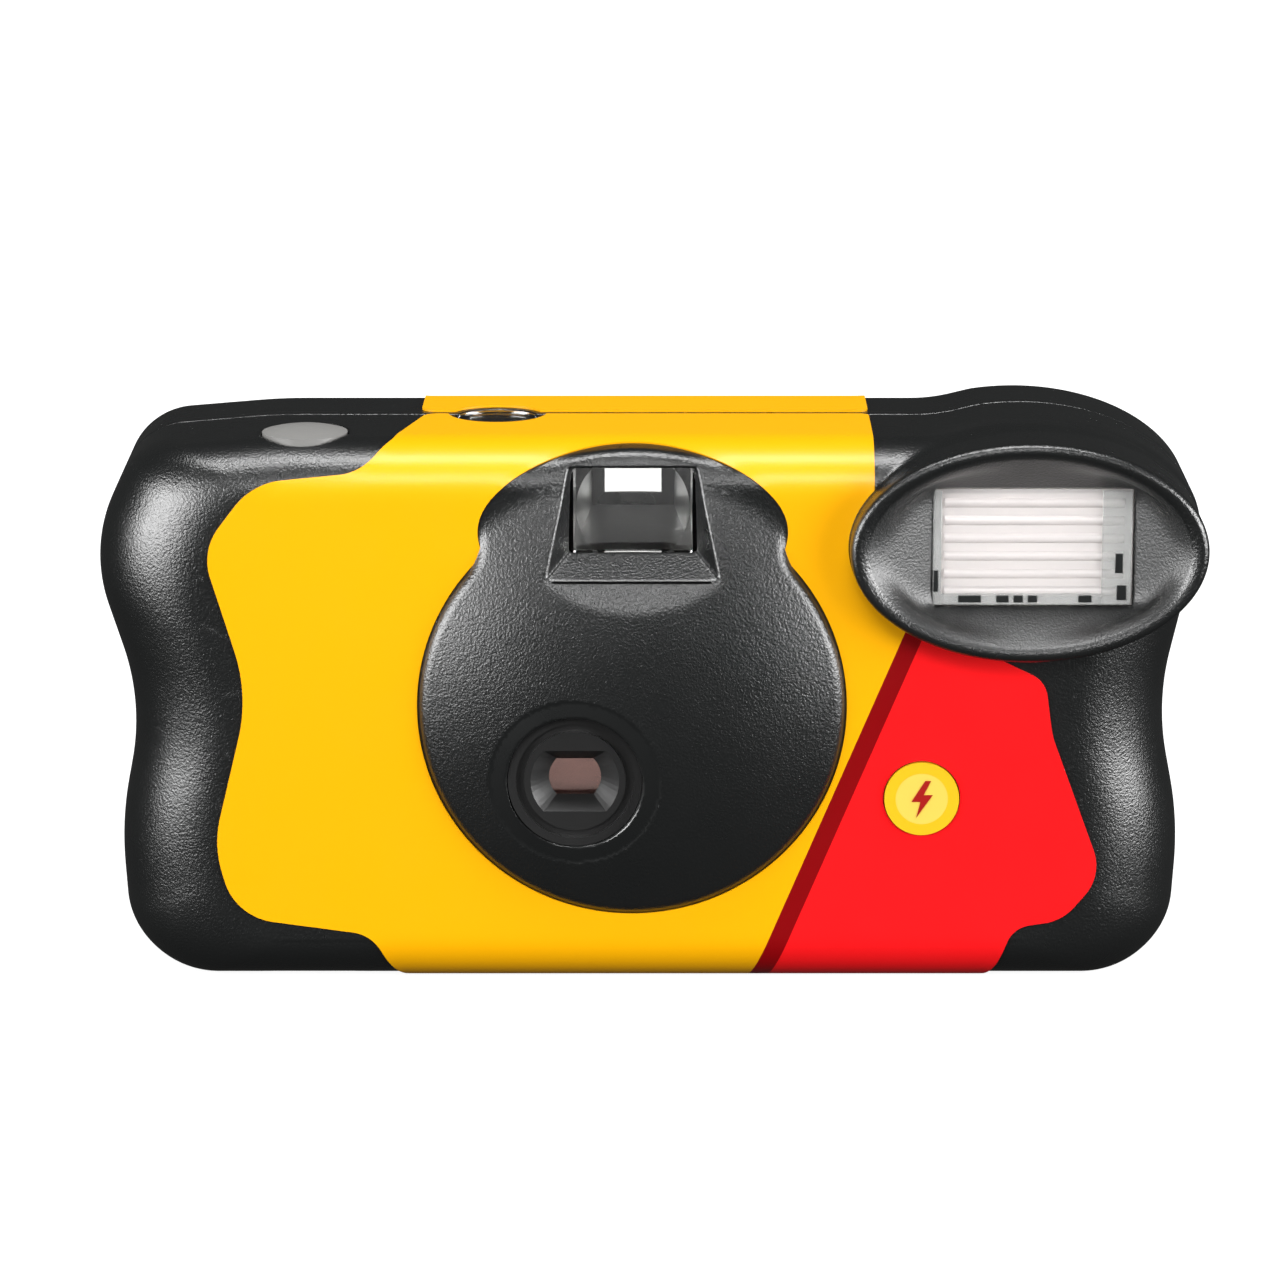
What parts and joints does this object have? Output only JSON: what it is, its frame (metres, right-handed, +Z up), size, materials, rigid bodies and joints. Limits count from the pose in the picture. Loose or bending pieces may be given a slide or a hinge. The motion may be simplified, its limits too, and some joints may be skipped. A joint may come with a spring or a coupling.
{
  "type": "disposable film camera",
  "caption": "Compact single-use film camera with a domed lens front, oval flash, push shutter button and thumbwheel film advance.",
  "frame": {"origin": "centre of the bounding box at the base", "axes": "+X to the flash end as seen from the front, +Y from the lens to the back, +Z up"},
  "size_m": [0.117, 0.0358, 0.0599],
  "materials": {
    "cover_black": "fine grained black moulding",
    "label_paper": "printed gloss label",
    "frame_plastic": "plain black moulding",
    "ring_black": "smooth black moulding",
    "clear_optic": "clear moulded optic",
    "flash_clear": "clear ribbed cover",
    "frosted": "frosted translucent moulding",
    "button_yellow": "plain moulding",
    "lever_plastic": "plain moulding",
    "dial_white": "plain moulding",
    "blade_steel": "thin sheet",
    "spring_steel": "wire",
    "cartridge_metal": "thin painted sheet",
    "film": "film base",
    "reflector": "bright sheet",
    "tube_glass": "gas-filled tube",
    "board_green": "circuit board",
    "component": "component cases",
    "core": "wound core",
    "cell": "printed metal sleeve",
    "contact": "sprung strip",
    "lamp": "neon lamp"
  },
  "bodies": {
    "case": {"front_cover": "cover_black", "rear_cover": "cover_black", "front_label": "label_paper", "rear_label": "label_paper", "chassis": "frame_plastic", "lens_retainer": "ring_black", "taking_lens": "clear_optic", "viewfinder_front_lens": "clear_optic", "viewfinder_eyepiece": "clear_optic", "blade_spring": "spring_steel", "lever_spring": "spring_steel", "cartridge_shell": "cartridge_metal", "cartridge_caps": "cartridge_metal", "film_strip": "film", "counter_window": "clear_optic", "film_door": "cover_black", "flash_window": "flash_clear", "flash_reflector": "reflector", "flash_tube": "tube_glass", "flash_board": "board_green", "main_capacitor": "component", "transformer": "core", "trigger_coil": "component", "board_components": "component", "battery": "cell", "battery_contacts": "contact", "charge_contact": "contact", "sync_contact": "contact", "ready_lamp": "lamp", "light_pipe": "frosted"},
    "wheel": {"thumbwheel": "frame_plastic", "cartridge_spool": "frame_plastic"},
    "supply": {"supply_spool": "frame_plastic", "film_roll": "film"},
    "sprocket_wheel": {"sprocket": "lever_plastic"},
    "dial": {"counter_dial": "dial_white"},
    "release": {"shutter_button": "frosted"},
    "charge": {"flash_button": "button_yellow"},
    "rocker": {"metering_lever": "lever_plastic"},
    "striker": {"high_energy_lever": "lever_plastic"},
    "blade": {"shutter_blade": "blade_steel"}
  },
  "joints": [
    {"name": "wheel_turn", "type": "hinge", "parent": "case", "child": "wheel", "pos_m": [-0.036, 0.00263, 0.0492], "axis": [0, 0, 1], "continuous": true},
    {"name": "sprocket_turn", "type": "hinge", "parent": "case", "child": "sprocket_wheel", "pos_m": [-0.01764, 0.00732, 0.038], "axis": [0, 0, 1], "continuous": true},
    {"name": "supply_turn", "type": "hinge", "parent": "case", "child": "supply", "pos_m": [0.038, 0.00532, 0.0237], "axis": [0, 0, 1], "continuous": true},
    {"name": "dial_turn", "type": "hinge", "parent": "case", "child": "dial", "pos_m": [-0.02, 0.00232, 0.0534], "axis": [0, 0, 1], "continuous": true},
    {"name": "shutter_press", "type": "slide", "parent": "case", "child": "release", "axis": [0, 0, -1], "range_m": [0, 0.0012], "stiffness_N_per_m": 800, "springref_m": -0.0004},
    {"name": "rocker_tip", "type": "hinge", "parent": "case", "child": "rocker", "pos_m": [-0.0215, -0.00758, 0.0533], "axis": [0, -1, 0], "range_deg": [0, 4.7]},
    {"name": "flash_press", "type": "slide", "parent": "case", "child": "charge", "axis": [0, 1, 0], "range_m": [0, 0.0008], "stiffness_N_per_m": 1200, "springref_m": -0.0003},
    {"name": "striker_swing", "type": "hinge", "parent": "case", "child": "striker", "pos_m": [0.004, -0.01287, 0.037], "axis": [0, -1, 0], "range_deg": [0, 18], "stiffness_Nm_per_rad": 0.01},
    {"name": "blade_swing", "type": "hinge", "parent": "case", "child": "blade", "pos_m": [-0.0151, -0.01123, 0.0314], "axis": [0, 1, 0], "range_deg": [0, 28]}
  ],
  "couplings": [
    {"joint": "sprocket_turn", "follows": "wheel_turn", "ratio": 0.9256},
    {"joint": "supply_turn", "follows": "wheel_turn", "ratio": 0.6914},
    {"joint": "dial_turn", "follows": "wheel_turn", "ratio": -0.0231},
    {"joint": "rocker_tip", "follows": "shutter_press", "rad_per_m": 67.114},
    {"joint": "blade_swing", "follows": "striker_swing", "ratio": 1.555}
  ]
}
